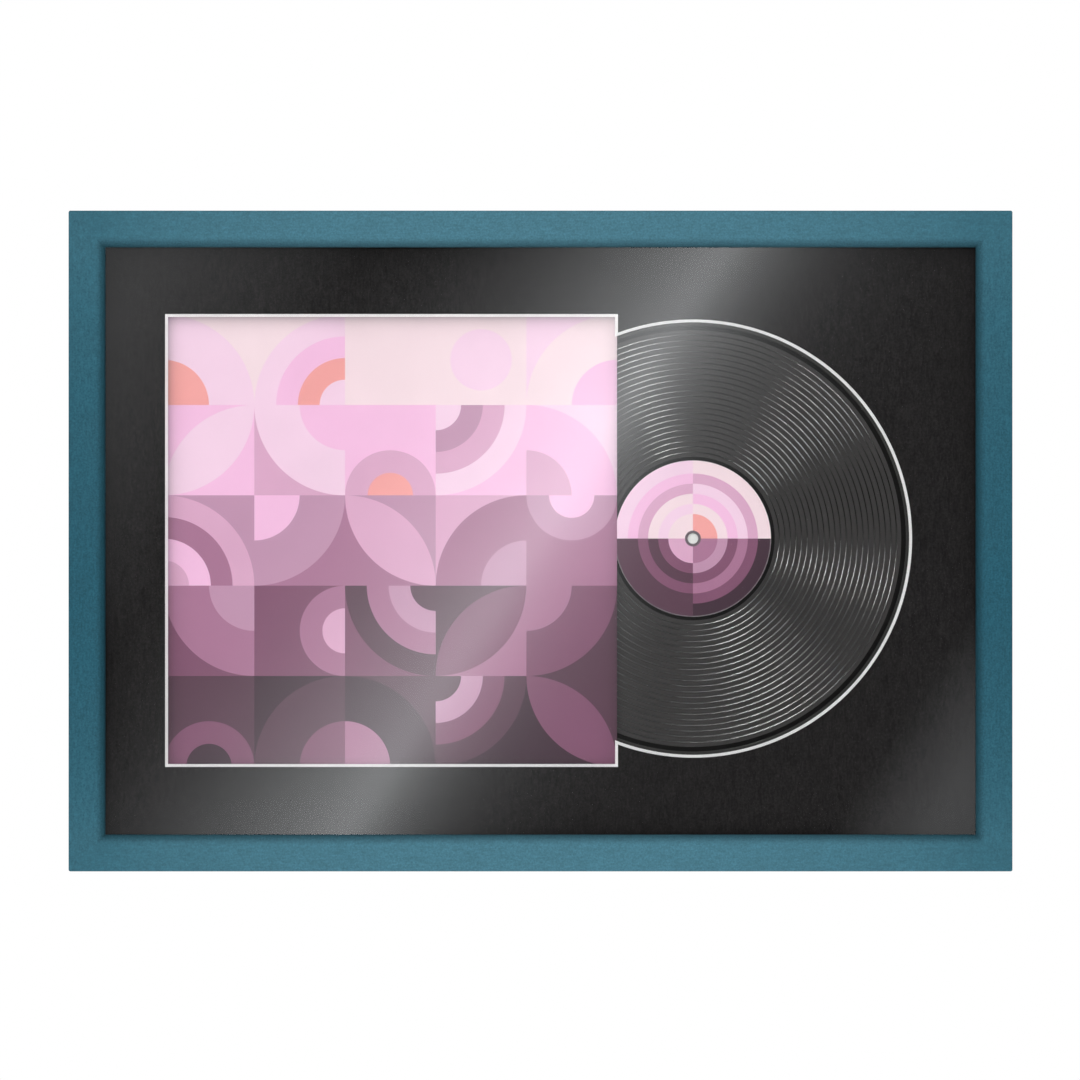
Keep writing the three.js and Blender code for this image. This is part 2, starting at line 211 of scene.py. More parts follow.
def painted(name, along_x):
    """Satin teal paint on wood, with faint speckle, brushing along the rail, painted light and painted shade."""
    g = material(name)
    place = g.place()
    x, _, z = g.split(place)
    if along_x:
        run, across, half, half_across = x, z, OUTER_W / 2, OUTER_H / 2
        middle, near, far, grain, ways = srgb(72.5, 120, 136.5), 0.09, 0.09, 1.0, (0.2, 1, 1)
    else:
        run, across, half, half_across = z, x, OUTER_H / 2, OUTER_W / 2
        middle, near, far, grain, ways = srgb(35, 85.5, 102), 0.105, 0.07, 1.2, (1, 1, 0.2)
    inward = g.math("SUBTRACT", half_across * MM, g.math("ABSOLUTE", across))

    def settled(distance, scale):
        """0 at the mitre, and towards 1 along the rail."""
        return g.math("SUBTRACT", 1.0, g.fading(g.math("SUBTRACT", distance, PAINTED_LIGHT_HOLD), scale))

    to_near, to_far = g.math("SUBTRACT", half * MM, run), g.math("ADD", half * MM, run)
    painted_light_share = g.math("MINIMUM", settled(to_near, near), settled(to_far, far))
    # painted light: the corners' colour turns to the middle's, lighter along the top and bottom rails and darker
    # along the sides
    base = g.mix(painted_light_share, srgb(55, 103, 119), middle)
    speckle = g.noise(place, 1.15, 2, 0.6)
    blotch = g.noise(place, 17, 3, 0.55)
    brush = g.noise(g.stretch(place, *ways), 1.3, 3, 0.6)
    # painted shade: the paint darker towards the round of the sight edge
    shade = g.spread(inward, 0.018, 0.0238, 1.0, 0.6, smooth=True)
    tone = g.times(g.swing(speckle, 0.2 * grain), g.swing(blotch, 0.04), g.swing(brush, 0.11 * grain), shade)
    height = g.add(g.times(speckle, 0.45), g.times(brush, 0.8))
    rough = g.spread(blotch, 0.3, 0.7, 0.6, 0.7)
    return g.principled(g.tone(base, tone), rough, Normal=g.bump(height, 0.35, 0.05), specular=0.12)


def bare_wood(name, ways):
    """Pale softwood, planed. Its grain runs along the axis that ways shrinks."""
    g = material(name)
    place = g.place()
    long_way = g.stretch(place, *ways)
    rings = g.noise(long_way, 6, 4, 0.6, 0.6)
    fibre = g.noise(long_way, 0.8, 3, 0.7)
    band = g.math("FRACT", g.times(rings, 7))
    late = g.spread(band, 0.55, 0.95, smooth=True)
    colour = g.mix(late, srgb(214, 184, 142), srgb(180, 141, 96))
    colour = g.tone(colour, g.times(g.swing(fibre, 0.09), g.swing(g.noise(place, 40, 2), 0.05)))
    height = g.add(g.times(late, 0.4), fibre)
    return g.principled(colour, 0.75, Normal=g.bump(height, 0.6, 0.12), specular=0.25)


def paper(name, colour, grain, fibre, roughness=0.95, sides=()):
    """Matt paper or board with a fine fibrous grain, and painted shade along any sides given."""
    g = material(name)
    place = g.place()
    fine = g.noise(place, 1.5, 2, 0.6)
    threads = g.noise(g.stretch(place, 1, 1, 0.28), 2.4, 2, 0.6, 1.2)
    cloud = g.noise(place, 55, 3, 0.5)
    tones = g.swing(fine, grain), g.swing(threads, fibre), g.swing(cloud, 0.02), *g.painted_edge_shades(place, sides)
    bump = g.bump(g.add(fine, g.times(threads, 0.7)), 0.25, 0.03)
    return g.principled(g.tone(colour, g.times(*tones)), roughness, Normal=bump, specular=0.2)


def printed(name, roughness, sides=()):
    """Ink on card: the colour of each printed shape, with the paper's grain, a slight fading of the ink and
    painted shade along any sides given.
    """
    g = material(name)
    place = g.place()
    ink = g.node("Attribute", attribute_name="ink").outputs["Color"]
    fine = g.noise(place, 0.6, 2, 0.6)
    cloud = g.noise(place, 38, 3, 0.55)
    tone = g.times(g.swing(fine, 0.022), g.swing(cloud, 0.03), *g.painted_edge_shades(place, sides))
    bump = g.bump(g.add(fine, g.times(g.noise(place, 2.2, 2), 0.5)), 0.25, 0.02)
    return g.principled(g.tone(ink, tone), roughness, Normal=bump, specular=0.2)


def vinyl(name, colour, roughness, anisotropic, shine):
    """Pressed vinyl. Its shine runs round the disc, as fine grooves make it. A painted shadow darkens it beside
    the sleeve's edge.
    """
    g = material(name)
    place = g.place()
    cloud = g.noise(place, 30, 3, 0.5)
    fine = g.noise(place, 1.2, 3, 0.6)
    # painted shadow of the sleeve, which lies over the disc: darker beside its edge
    past = g.add(g.split(place)[0], (DISC[0] - SLEEVE_X[1]) * MM)
    shade = g.math("MULTIPLY_ADD", g.fading(past, 2.4 * MM), -0.4, 1.0)
    return g.principled(
        g.tone(colour, g.times(g.swing(cloud, 0.05), g.swing(fine, 0.035), shade)),
        g.spread(fine, 0.3, 0.7, roughness - 0.02, roughness + 0.02),
        Normal=g.bump(fine, 0.15, 0.01),
        specular=shine,
        Anisotropic=anisotropic,
        Tangent=g.out("Tangent", direction_type="RADIAL", axis="Y"),
    )


def hardboard():
    """Hardboard's smooth face: fine matted fibres, thin dark slivers here and there and a slow mottle."""
    g = material("hardboard")
    place = g.place()
    fibre = g.noise(place, 1.6, 4, 0.75, 2.0)
    mottle = g.noise(place, 7, 3, 0.6, 0.8)
    cloud = g.noise(place, 90, 3)
    slivers = [g.noise(g.stretch(place, *ways), 1.5, 2, 0.6, 1.5) for ways in ((0.25, 1, 1), (1, 1, 0.25))]
    sliver = g.spread(g.math("MAXIMUM", *slivers), 0.66, 0.74)
    colour = g.mix(g.times(sliver, 0.5), srgb(141, 103, 68), srgb(84, 56, 35))
    colour = g.tone(colour, g.times(g.swing(fibre, 0.14), g.swing(mottle, 0.07), g.swing(cloud, 0.06)))
    bump = g.bump(g.add(fibre, g.times(sliver, -0.3)), 0.5, 0.1)
    return g.principled(colour, g.spread(fibre, 0.3, 0.7, 0.6, 0.78), Normal=bump, specular=0.3)


def zinc_steel():
    """Zinc-plated steel with a faint yellow and blue cast and fine scuffs."""
    g = material("zinc_steel")
    place = g.place()
    cast = g.noise(place, 5, 3, 0.6, 0.8)
    scuff = g.noise(g.stretch(place, 1, 1, 0.2), 0.5, 3, 0.7)
    colour = g.mix(g.spread(cast, 0.35, 0.65), srgb(196, 198, 204), srgb(206, 202, 188))
    rough = g.spread(g.add(scuff, g.times(cast, 0.4)), 0.4, 1.0, 0.24, 0.42)
    return g.principled(g.tone(colour, g.swing(scuff, 0.05)), rough, Normal=g.bump(scuff, 0.2, 0.02), Metallic=1.0)


def rubber():
    """Matt black rubber with a grey bloom."""
    g = material("bumper_rubber")
    place = g.place()
    fine = g.noise(place, 0.6, 3, 0.6)
    bloom = g.noise(place, 4, 3, 0.6)
    colour = g.mix(g.spread(bloom, 0.4, 0.7, 0, 0.6), srgb(34, 34, 35), srgb(54, 53, 52))
    rough = g.spread(bloom, 0.3, 0.7, 0.6, 0.8)
    return g.principled(g.tone(colour, g.swing(fine, 0.1)), rough, Normal=g.bump(fine, 0.4, 0.05))


def glass_face():
    """The glass's outer face: what is behind shows through, and it reflects more at a slant."""
    g = material("glass_front")
    facing = g.node("LayerWeight", {"Blend": 0.5}).outputs["Facing"]
    reflects = g.math("MULTIPLY_ADD", g.math("POWER", facing, 5), 1 - GLASS_SHINE, GLASS_SHINE)
    lamp_ray = g.node("LightPath").outputs["Is Shadow Ray"]
    share = g.times(reflects, g.math("SUBTRACT", 1, lamp_ray))
    through = g.out("BsdfTransparent", (0.994, 0.998, 0.996, 1))
    shine = g.node("BsdfGlossy", {"Roughness": 0.02}).outputs[0]
    return g.output(g.out("MixShader", share, through, shine))


def glass_rest():
    """The glass's other faces, with the faint green that the edge of a sheet has."""
    g = material("glass_other")
    tint = g.mix(g.noise(g.place(), 30, 2), (0.99, 0.998, 0.994, 1), (0.994, 0.999, 0.997, 1))
    return g.output(g.out("BsdfTransparent", tint))


# Painted shade on the deeper sheets, darker along the edges that stand over them.
MAT_PAINTED_SHADE = (
    ("x", -SIGHT_X, 1, 0.45, 9.0), ("x", SIGHT_X, -1, 0.3, 8.0),
    ("z", SIGHT_Z, -1, 0.55, 10.0), ("z", -SIGHT_Z, 1, 0.34, 8.0),
)
WINDOW_HALF = SQUARE_BACK / 2
# painted shadow of the mat's window edges on the sleeve, and painted shade along its free right edge
SLEEVE_PAINTED_SHADE = (
    ("x", SQUARE[0] - WINDOW_HALF, 1, 0.52, 4.2), ("z", SQUARE[1] + WINDOW_HALF, -1, 0.56, 4.2),
    ("x", SLEEVE_X[1], -1, 0.3, 4.4), ("z", SQUARE[1] - WINDOW_HALF, 1, 0.28, 2.4),
)

paint_x = painted("paint_long", True)
paint_z = painted("paint_short", False)
wood_x = bare_wood("wood_long", (0.05, 1, 1))
wood_z = bare_wood("wood_short", (1, 1, 0.05))
mat_black = paper("mat_black", srgb(35, 33, 33.5), 0.4, 0.42, sides=MAT_PAINTED_SHADE)
mat_core = paper("mat_core", (0.96, 0.945, 0.95, 1), 0.01, 0.01)
board_white = paper("board_white", srgb(252, 251, 249), 0.02, 0.02, 0.9)
foam_edge = paper("foam_edge", srgb(228, 226, 221), 0.05, 0.05, 0.9)
card = paper("card", srgb(226, 218, 214), 0.03, 0.05, 0.8)
sleeve_print = printed("sleeve_print", 0.55, SLEEVE_PAINTED_SHADE)
label_print = printed("label_print", 0.7)
vinyl_field = vinyl("vinyl_field", srgb(62.5, 60.5, 60.5), 0.11, 0.2, 0.25)
# painted shade: the groove walls far darker than the field, so that the grooves read as dark lines where no lamp
# shines in them
vinyl_wall_painted_shade = vinyl("vinyl_wall_painted_shade", srgb(8, 8, 8), 0.2, 0.0, 0.5)
# painted shade: the channels beside the label and inside the rim far darker than the field
vinyl_channel_painted_shade = vinyl("vinyl_channel_painted_shade", srgb(20, 19, 19), 0.11, 0.0, 0.1)
vinyl_bead = vinyl("vinyl_bead", srgb(56, 55, 54), 0.15, 0.2, 0.2)
fibreboard = hardboard()
steel = zinc_steel()
black_rubber = rubber()
glass_front = glass_face()
glass_other = glass_rest()


# ---- mesh helpers


class Shell:
    """Points in millimetres and the faces between them, each with the number of its material."""

    def __init__(self):
        self.points, self.faces, self.slots = [], [], []

    def row(self, points):
        """Adds points and returns their numbers."""
        self.points += points
        return list(range(len(self.points) - len(points), len(self.points)))

    def face(self, row, slot=0):
        self.faces.append(list(dict.fromkeys(row)))
        self.slots.append(slot)

    def bridge(self, a, b, slot=0, ring=True):
        """Faces between two rows, each a ring or an open line. A row of one point is a tip."""
        count = max(len(a), len(b))
        for k in range(count if ring else count - 1):
            n = (k + 1) % count
            self.face([a[k % len(a)], a[n % len(a)], b[n % len(b)], b[k % len(b)]], slot)

    def loft(self, rows, slots=None, closed=True, ring=True):
        """Faces from each row to the next, and from the last back to the first when it is closed."""
        for i, (a, b) in enumerate(zip(rows, rows[1:] + rows[:1] * closed)):
            self.bridge(a, b, slots[i] if slots else 0, ring)


def turns_of(sides):
    return [2 * math.pi * k / sides for k in range(sides)]


def lathe(outline, sides, centre=(0.0, 0.0), slots=None):
    """A shell: an outline of radius and y, turned about the y axis through centre in x and z. An outline that
    ends on the axis stays open, and any other is closed."""
    shell = Shell()
    rows = []
    for radius, y in outline:
        flat = [(radius * math.cos(t), radius * math.sin(t)) for t in turns_of(sides if radius > 0 else 1)]
        rows.append(shell.row([(centre[0] + x, y, centre[1] + z) for x, z in flat]))
    shell.loft(rows, slots, closed=outline[-1][0] > 0)
    return shell


def arc(centre, radius, start, end, steps):
    """Points on an arc in a plane, angles in degrees, both ends included."""
    turn = np.radians(np.linspace(start, end, steps + 1))
    return [(centre[0] + radius * math.cos(t), centre[1] + radius * math.sin(t)) for t in turn]


def clean(mesh, near):
    """Joins points closer than near metres, drops what is left without area and turns the faces outwards."""
    made = bmesh.new()
    made.from_mesh(mesh)
    bmesh.ops.remove_doubles(made, verts=made.verts, dist=near)
    bmesh.ops.dissolve_degenerate(made, edges=made.edges, dist=near)
    bmesh.ops.recalc_face_normals(made, faces=made.faces)
    made.to_mesh(mesh)
    made.free()


def shade(mesh, sharp):
    """Smooth shading, apart from edges that turn by more than sharp degrees."""
    mesh.shade_smooth()
    mesh.set_sharp_from_angle(angle=math.radians(sharp))


def mesh_of(name, shell, materials, sharp=30, inks=None):
    """A mesh from a shell. inks holds one linear colour for each face."""
    mesh = bpy.data.meshes.new(name)
    mesh.from_pydata([tuple(float(c) * MM for c in p) for p in shell.points], [], shell.faces)
    for made in materials:
        mesh.materials.append(made)
    mesh.polygons.foreach_set("material_index", np.array(shell.slots, np.int32))
    if inks is not None:
        colours = mesh.color_attributes.new("ink", "FLOAT_COLOR", "CORNER")
        flat = [c for polygon in mesh.polygons for _ in polygon.loop_indices for c in inks[polygon.index]]
        colours.data.foreach_set("color", flat)
    mesh.update()
    clean(mesh, 1e-7)
    shade(mesh, sharp)
    return mesh


def new_object(name, data):
    made = bpy.data.objects.new(name, data)
    scene.collection.objects.link(made)
    return made


def mesh_object(name, shell, materials, sharp=30, inks=None):
    return new_object(name, mesh_of(name, shell, materials, sharp, inks))


def bevel(piece, width, segments=3, angle=40):
    soft = piece.modifiers.new("soft_edges", "BEVEL")
    soft.width = width * MM
    soft.segments = segments
    soft.limit_method = "ANGLE"
    soft.angle_limit = math.radians(angle)
    soft.harden_normals = True
    return piece


def settle(piece, node):
    """Puts a piece in the place of its CAD node, on the node's body."""
    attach(piece, frame["nodes"][node]["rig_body"])
    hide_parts(node)


def nodes_named(*starts):
    return sorted(n for n in frame["nodes"] if n.startswith(starts))


def middle(node):
    """The middle of a CAD node in x and z, in millimetres."""
    low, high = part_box(node)
    return (low.x + high.x) / 2 / MM, (low.z + high.z) / 2 / MM


# ---- rails


EASE, STEP = 0.25, DEPTH - LIP
ROUNDS = arc((EDGE_ROUND, DEPTH - EDGE_ROUND), EDGE_ROUND, 180, 90, 8)
ROUNDS += arc((MOULDING - SIGHT_ROUND, DEPTH - SIGHT_ROUND), SIGHT_ROUND, 90, 0, 20)
# The section from the back's outer corner round: how far each point lies inward and forward, and the material of
# the face after it, 0 for paint and 1 for wood.
SECTION = [(EASE, 0.0, 1), (0.0, EASE, 0), *((x, y, 0) for x, y in ROUNDS), (MOULDING, STEP + EASE, 0)]
SECTION += [(MOULDING - EASE, STEP, 1), (BACK_W, STEP, 1), (BACK_W, 0.0, 1)]


TURNS = {"bottom": 0.0, "top": math.pi, "right": -math.pi / 2, "left": math.pi / 2}  # about y, from the bottom


def rail(side, length, reach, materials):
    """A mitred rail whose outer edge lies at z = -reach before it is turned about y."""
    node, turn = "rail_" + side, TURNS[side]
    steps = 6  # of each rail's half of the frame's round corner
    shares = [k / steps for k in range(steps + 1)]
    columns = [(-1, share) for share in reversed(shares)] + [(1, share) for share in shares]
    cosine, sine = math.cos(turn), math.sin(turn)
    shell = Shell()
    rows = []
    for inward, forward, _ in SECTION:
        centre = max(inward, CORNER_ROUND)
        points = []
        for end, share in columns:
            tilt = math.radians(45) * share
            x = end * (length / 2 - centre + (centre - inward) * math.sin(tilt))
            z = centre - (centre - inward) * math.cos(tilt) - reach
            points.append((x * cosine + z * sine, RAIL_BACK - forward, z * cosine - x * sine))
        rows.append(shell.row(points))
    shell.loft(rows, [slot for _, _, slot in SECTION], ring=False)
    shell.face([row[0] for row in rows], 1)
    shell.face([row[-1] for row in reversed(rows)], 1)
    settle(mesh_object(node + "_painted", shell, materials, sharp=32), node)


for side in ("bottom", "top"):
    rail(side, OUTER_W, OUTER_H / 2, [paint_x, wood_x])
for side in ("right", "left"):
    rail(side, OUTER_H, OUTER_W / 2, [paint_z, wood_z])


# ---- glass, mat and boards


def plain_sheet(name, y, materials, ease, slots):
    """A sheet with eased edges. slots are for the faces at -x, +x, -y, +y, -z and +z."""
    shell = Shell()
    shell.row([(a, b, c) for a in (-SHEET_X, SHEET_X) for b in y for c in (-SHEET_Z, SHEET_Z)])
    faces = [(0, 1, 3, 2), (4, 6, 7, 5), (0, 4, 5, 1), (2, 3, 7, 6), (0, 2, 6, 4), (1, 5, 7, 3)]
    for face, slot in zip(faces, slots):
        shell.face(face, slot)
    return bevel(mesh_object(name, shell, materials), ease)


glazing = plain_sheet("glazing_sheet", GLASS_Y, [glass_other, glass_front], 0.15, (0, 0, 1, 0, 0, 0))
settle(glazing, "glazing")
mount = plain_sheet("mount_sheet", MOUNT_Y, [board_white, foam_edge], 0.2, (1, 1, 0, 0, 1, 1))
settle(mount, "mount_board")
backing = plain_sheet("backing_sheet", BACKING_Y, [fibreboard], 0.35, (0,) * 6)
settle(backing, "backing_board")


def window(centre, side, radius, steps):
    """The outline of a square joined to a circle about the disc, from the square's lower left corner round."""
    (left, right), (low, high) = ((c - side / 2, c + side / 2) for c in centre)
    opening = math.degrees(math.acos((right - DISC[0]) / radius))
    curve = arc(DISC, radius, -opening, opening, steps)
    return [(left, low), (right, low), *curve, (right, high), (left, high)]


def pierced_sheet(name, back, front, materials, back_slot):
    """A sheet with a window. back and front hold y and the window's outline there. The first material is the
    front's, and the second the edges'."""
    shell = Shell()
    corners = [(-SHEET_X, -SHEET_Z), (SHEET_X, -SHEET_Z), (SHEET_X, SHEET_Z), (-SHEET_X, SHEET_Z)]
    rows = [[shell.row([(x, y, z) for x, z in line]) for line in (corners, hole)] for y, hole in (back, front)]
    for (outer, inner), slot in zip(rows, (back_slot, 0)):
        # two faces, cut apart from the sheet's lower corners to the window's lower left corner and its far right
        far = len(inner) // 2
        shell.face([*outer[:2], *reversed(inner[: far + 1])], slot)
        shell.face([*outer[1:], outer[0], inner[0], *reversed(inner[far:])], slot)
    for a, b in zip(*rows):
        shell.bridge(a, b, 1)
    return mesh_object(name, shell, materials, sharp=25)


CURVE_STEPS = 192
hole_back = window(SQUARE, SQUARE_BACK, CIRCLE_BACK, CURVE_STEPS)
hole_front = window(SQUARE, SQUARE_FRONT, CIRCLE_FRONT, CURVE_STEPS)
mat = pierced_sheet("mat_sheet", (MAT_BACK, hole_back), (MAT_FRONT, hole_front), [mat_black, mat_core], 1)
settle(mat, "mat_board")


# ---- the sleeve and its print

PRINTED = {
    "p": (255, 218, 225), "l": (253, 208, 229), "k": (247, 190, 224), "c": (243, 165, 162),
    "m": (218, 168, 198), "v": (192, 147, 175), "r": (170, 118, 148), "g": (130, 84, 110),
    "h": (92, 63, 79), "d": (70, 50, 62), "w": (248, 240, 243), "n": (108, 96, 103),
}
INKS = {letter: srgb(*colour, BEHIND_GLASS) for letter, colour in PRINTED.items()}

# One tile to a group, the top row first. The first letter is its form, the digit turns it by quarters,
# and the others are its inks: ground first, then each shape from the outside in.
TILES = [
    ["q0plc", "r1plkc", "s0p", "c0pl", "q1lpk"],
    ["l0klk", "q2mlk", "h0kmc", "r3klmv", "q0lkm"],
    ["r0vmrk", "q3rvk", "l1vmr", "q1mrv", "h2rvk"],
    ["q2grv", "h1grm", "r2ghrv", "l0rgh", "q3hgr"],
    ["h0hgd", "q1dhg", "q0hdr", "r3dhgv", "l1hgd"],
]

# Arcs in a unit square, one in another: their centre, radii and reach in degrees, then the corners that close the
# ground round the widest and the shape inside the narrowest.
NESTED = {
    "q": ((0, 0), (1.0, 0.5), 90, [(1, 1)], [(0, 0)]),  # a quarter disc with a smaller one in it
    "r": ((0, 0), (1.0, 0.76, 0.52, 0.28), 90, [(1, 1)], [(0, 0)]),  # quarter rings
    "h": ((0.5, 0), (0.5, 0.25), 180, [(0, 1), (1, 1)], []),  # a half disc on one side, with a smaller one in it
}


def unit_arc(centre, radius, start, end):
    return arc(centre, radius, start, end, 24)


def tile_shapes(form, inks):
    """The tile's printed shapes, which cover a unit square: the outline and the ink of each."""
    if form in NESTED:
        centre, radii, reach, ground, heart = NESTED[form]
        arcs = [unit_arc(centre, radius, 0, reach) for radius in radii]
        rings = [wide + narrow[::-1] for wide, narrow in zip(arcs, arcs[1:])]
        return zip([arcs[0] + ground, *rings, arcs[-1] + heart], inks + inks[1:])
    if form == "l":  # a leaf from corner to corner
        one, two = unit_arc((0, 1), 1, -90, 0), unit_arc((1, 0), 1, 90, 180)
        return [(one + two[1:-1], inks[1]), (one + [(1, 0)], inks[0]), (two + [(0, 1)], inks[2])]
    if form == "c":  # a disc in the middle
        right, left = (unit_arc((0.5, 0.5), 0.34, start, start + 180) for start in (-90, 90))
        return [
            (right + left[1:-1], inks[1]),
            ([(0.5, 0), (1, 0), (1, 1), (0.5, 1)] + right[::-1], inks[0]),
            ([(0.5, 1), (0, 1), (0, 0), (0.5, 0)] + left[::-1], inks[0]),
        ]
    return [([(0, 0), (1, 0), (1, 1), (0, 1)], inks[0])]


def add_print(shell, x, z, y):
    """Adds the print to a shell, over a rectangle, and returns the inks of its faces."""
    colours = []
    size_x, size_z = (x[1] - x[0]) / len(TILES[0]), (z[1] - z[0]) / len(TILES)
    for row, tiles in enumerate(TILES):
        for column, tile in enumerate(tiles):
            for outline, ink in tile_shapes(tile[0], tile[2:]):
                points = []
                for u, v in outline:
                    for _ in range(int(tile[1])):
                        u, v = 1 - v, u
                    points.append((x[0] + (column + u) * size_x, y, z[1] - (row + 1 - v) * size_z))
                shell.face(shell.row(points))
                colours.append(INKS[ink])
    return colours


def share_points(shell):
    """Builds each point that lies inside a face's edge along x or z into that edge."""
    points = [tuple(round(c, 3) for c in point) for point in shell.points]

    def line(point, axis):
        """What the points on one line along an axis have in common."""
        return (axis, *(c for i, c in enumerate(point) if i != axis))

    on_line = {}
    for k, point in enumerate(points):
        for axis in (0, 2):
            on_line.setdefault(line(point, axis), {})[point[axis]] = k
    for i, face in enumerate(shell.faces):
        full = []
        for a, b in zip(face, [*face[1:], face[0]]):
            full.append(a)
            for axis in (0, 2):
                way, start, end = line(points[a], axis), points[a][axis], points[b][axis]
                if way == line(points[b], axis):
                    inside = [s for s in on_line[way] if min(start, end) < s < max(start, end)]
                    full += [on_line[way][s] for s in sorted(inside, reverse=start > end)]
        shell.faces[i] = full


def rounded_loop(y, z, radius):
    """A rounded rectangle in y and z: the front's lower end first, then back round to the front's upper end."""
    (low_y, high_y), (low_z, high_z) = [(low + radius, high - radius) for low, high in (y, z)]
    corners = [(low_y, low_z), (high_y, low_z), (high_y, high_z), (low_y, high_z)]
    arcs = [arc(corner, radius, start, start + 90, 5) for corner, start in zip(corners, (180, 270, 0, 90))]
    return sum(arcs, [])


def sleeve():
    """A folded card pocket, open at the right, printed on its front."""
    fold, thick, outer_round, inner_round = 0.8, 0.4, 0.9, 0.5
    (left, right), (low, high), (front, back) = SLEEVE_X, SLEEVE_Z, SLEEVE_Y
    outer = rounded_loop(SLEEVE_Y, SLEEVE_Z, outer_round)
    inner = rounded_loop((front + thick, back - thick), (low + fold, high - fold), inner_round)
    shell = Shell()

    def ring(x, loop, shrink=0.0):
        def inwards(value, ends):
            return value + math.copysign(shrink, sum(ends) / 2 - value)

        return shell.row([(x, inwards(y, SLEEVE_Y), inwards(z, SLEEVE_Z)) for y, z in loop])

    print_left = left + 0.6
    folded = [ring(left, outer, 0.5), ring(left + 0.2, outer, 0.15), ring(print_left, outer)]
    inside = [ring(right, outer), ring(right, inner), ring(left + fold, inner)]
    shell.loft(folded, [1, 1], closed=False)
    shell.bridge(folded[-1], inside[0], 1, ring=False)  # the print closes the front
    shell.loft(inside, [1, 1], closed=False)
    shell.face(folded[0], 1)
    shell.face(inside[-1][::-1], 1)
    inks = [INKS["w"]] * len(shell.faces)
    inks += add_print(shell, (print_left, right), (low + outer_round, high - outer_round), front)
    share_points(shell)
    return mesh_object("sleeve_jacket", shell, [sleeve_print, card], 35, inks)


settle(sleeve(), "record_sleeve")


# ---- the record

GROOVES = np.linspace(59.8, 141.0, 22)  # the radii of their middles
GROOVE_WIDE = 0.76
# shares of the groove's width: across from its inner edge, and down. A wide wall faces outwards, and a steep one
# faces the hole.
GROOVE_WALL = [(0.0, 0.0), (0.04, 0.008), (0.1, 0.045), (0.775, 0.318), (0.84, 0.335), (0.89, 0.31), (1.0, 0.0)]
FIELD, CHANNEL, FACE, SEAT = 0.8, 0.4, 1.0, 0.8  # heights from the disc's middle plane
SEAT_EDGE, RIM = LABEL_R + 0.2, DISC_R - 3.5


def record():
    """The disc. Half of its outline, from the hole outwards, has a slot for the face after each point."""
    half = [(HOLE_R, SEAT - 0.12, 0), (HOLE_R + 0.12, SEAT, 0), (SEAT_EDGE, SEAT, 3), (SEAT_EDGE, CHANNEL, 3)]
    half += [(SEAT_EDGE + 2.2, CHANNEL, 3), (SEAT_EDGE + 2.4, FIELD, 0)]
    for radius in GROOVES:
        start = radius - GROOVE_WIDE / 2
        half += [(start + across * GROOVE_WIDE, FIELD - down * GROOVE_WIDE, 1) for across, down in GROOVE_WALL]
        half[-1] = (*half[-1][:2], 0)
    half += [(RIM - 3.1, FIELD, 3), (RIM - 2.9, CHANNEL, 3), (RIM, CHANNEL, 2), (RIM + 0.12, FACE - 0.2, 2)]
    half += [(RIM + 0.35, FACE - 0.06, 2), (RIM + 0.75, FACE, 2), (DISC_R - 0.9, FACE, 2)]
    half += [(r, h, 2) for r, h in arc((DISC_R - 0.7, FACE - 0.75), 0.7, 80, 0, 6)]
    outline = [(r, DISC_Y - h) for r, h, _ in half] + [(r, DISC_Y + h) for r, h, _ in reversed(half)]
    slots = [slot for _, _, slot in half]
    slots += [*slots[-2::-1], 0]
    # the shine's tangent is taken about the object's own origin, so the disc's origin is its centre
    shell = lathe(outline, 256, slots=slots)
    made = mesh_object("record_disc", shell, [vinyl_field, vinyl_wall_painted_shade, vinyl_bead, vinyl_channel_painted_shade], 40)
    made.location = (DISC[0] * MM, 0, DISC[1] * MM)
    return made


disc = record()
settle(disc, "vinyl_disc")

# Rings of the label's print from the hole outwards: outer radius, then the inks of the four quarters, from the
# upper right one round to the left.
LABEL_RINGS = [
    # the first ring, in grey, is painted shade round the hole
    (5.5, "nnnn"), (17.0, "cpmr"), (24.0, "plgv"), (31.0, "kphg"),
    (38.0, "lmgr"), (45.0, "mkhg"), (53.4, "plhd"), (54.0, "plnn"),
]


def label(name, face, is_printed):
    """A paper ring. face is -1 for the front and 1 for the back."""
    sides, ease, edge, foot, inner = 192, 0.03, 0.05, 0.85, HOLE_R + 0.2
    low, high = DISC_Y + face * foot, DISC_Y + face * FACE
    outline = [(inner, low), (inner, high - face * ease), (inner + edge, high)]
    outline += [(min(radius, LABEL_R - edge), high) for radius, _ in LABEL_RINGS]
    outline += [(LABEL_R, high - face * ease), (LABEL_R, low)]
    quarters = ["wwww"] * 2 + [inks if is_printed else "pppp" for _, inks in LABEL_RINGS] + ["wwww"] * 3
    inks = [INKS[letters[4 * k // sides]] for letters in quarters for k in range(sides)]
    return mesh_object(name, lathe(outline, sides, DISC), [label_print], 40, inks)


settle(label("label_front", -1, True), "front_label")
settle(label("label_back", 1, False), "back_label")


# ---- the spacer board


def spacer():
    """The board round the sleeve and the record, cut out to their joined outline."""
    play = 0.5
    centre = sum(SLEEVE_X) / 2, sum(SLEEVE_Z) / 2
    hole = window(centre, SLEEVE_X[1] - SLEEVE_X[0] + 2 * play, DISC_R + play, CURVE_STEPS // 2)
    front, back = SLEEVE_Y
    return pierced_sheet("spacer_sheet", (back, hole), (front, hole), [board_white, foam_edge], 0)


settle(spacer(), "spacer_board")


# ---- screws, buttons, hangers, rings, bumpers and nails

SCREW_HEAD = 1.8


